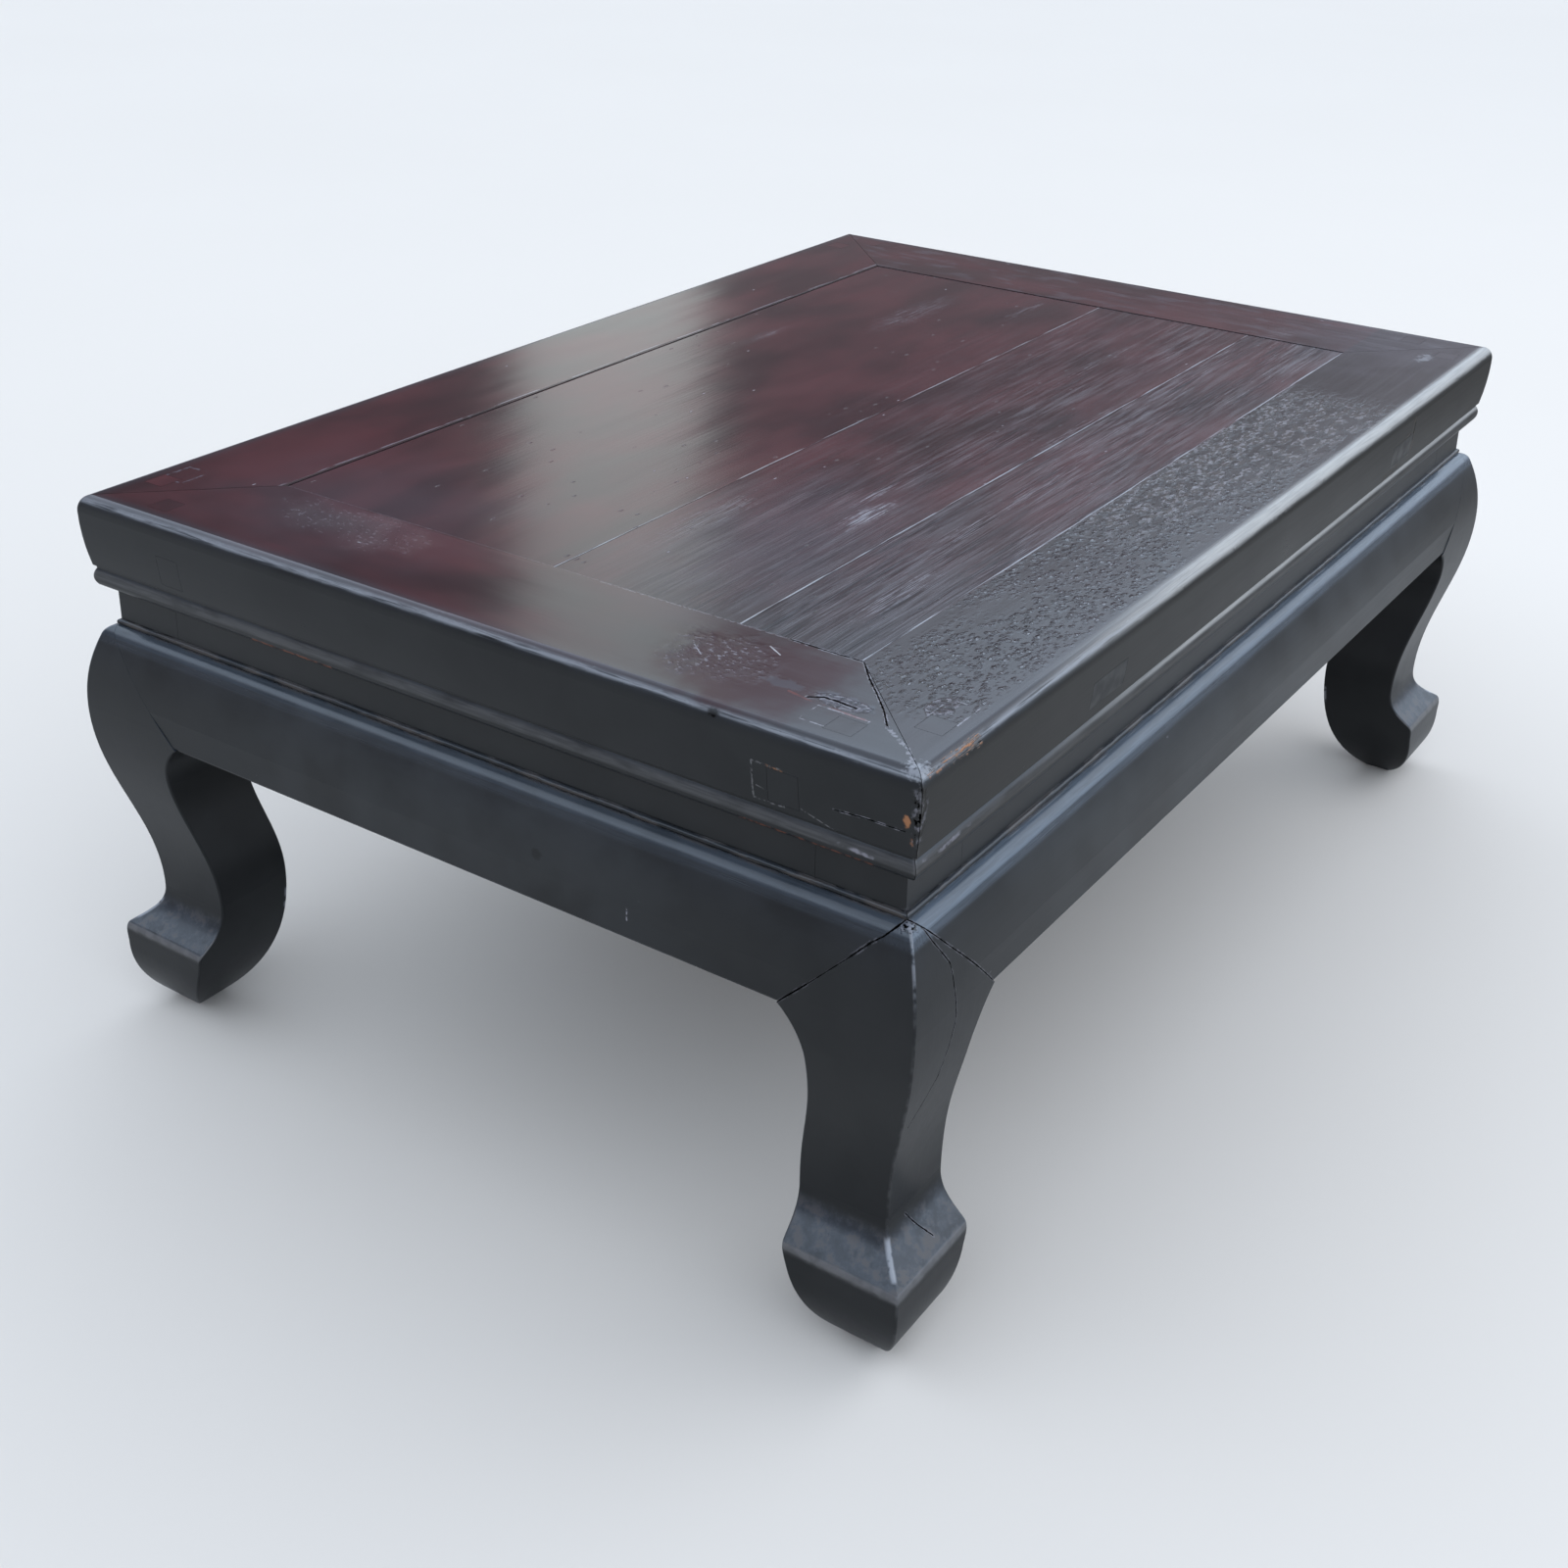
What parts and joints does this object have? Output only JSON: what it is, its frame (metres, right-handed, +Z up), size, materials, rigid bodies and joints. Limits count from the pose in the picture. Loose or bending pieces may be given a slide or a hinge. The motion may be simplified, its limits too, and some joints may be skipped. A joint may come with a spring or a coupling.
{
  "type": "kang table",
  "caption": "Low rectangular waisted table with a mitred frame-and-panel top, plain aprons and short cabriole legs that end in outward-kicked feet.",
  "frame": {"origin": "on the floor, under the middle of the top", "axes": "+X along the long side, +Y along the short side towards the back, +Z up"},
  "size_m": [0.773, 0.539, 0.32],
  "materials": {
    "lacquered_frame": "aged black-brown lacquer, semi-gloss",
    "lacquered_panel": "worn maroon lacquer over open grain, semi-gloss",
    "lacquered_base": "black lacquer, satin",
    "lacquered_legs": "black lacquer, satin, worn at the feet",
    "bare_battens": "planed wood with a thin dark stain"
  },
  "bodies": {
    "root": {"rail_front": "lacquered_frame", "rail_right": "lacquered_frame", "rail_back": "lacquered_frame", "rail_left": "lacquered_frame", "board_front": "lacquered_panel", "board_middle": "lacquered_panel", "board_back": "lacquered_panel", "waist_front": "lacquered_base", "waist_right": "lacquered_base", "waist_back": "lacquered_base", "waist_left": "lacquered_base", "ledge_front": "lacquered_base", "ledge_right": "lacquered_base", "ledge_back": "lacquered_base", "ledge_left": "lacquered_base", "apron_front": "lacquered_base", "apron_right": "lacquered_base", "apron_back": "lacquered_base", "apron_left": "lacquered_base", "leg_front_left": "lacquered_legs", "leg_front_right": "lacquered_legs", "leg_back_left": "lacquered_legs", "leg_back_right": "lacquered_legs", "batten_left": "bare_battens", "batten_right": "bare_battens"}
  },
  "joints": []
}
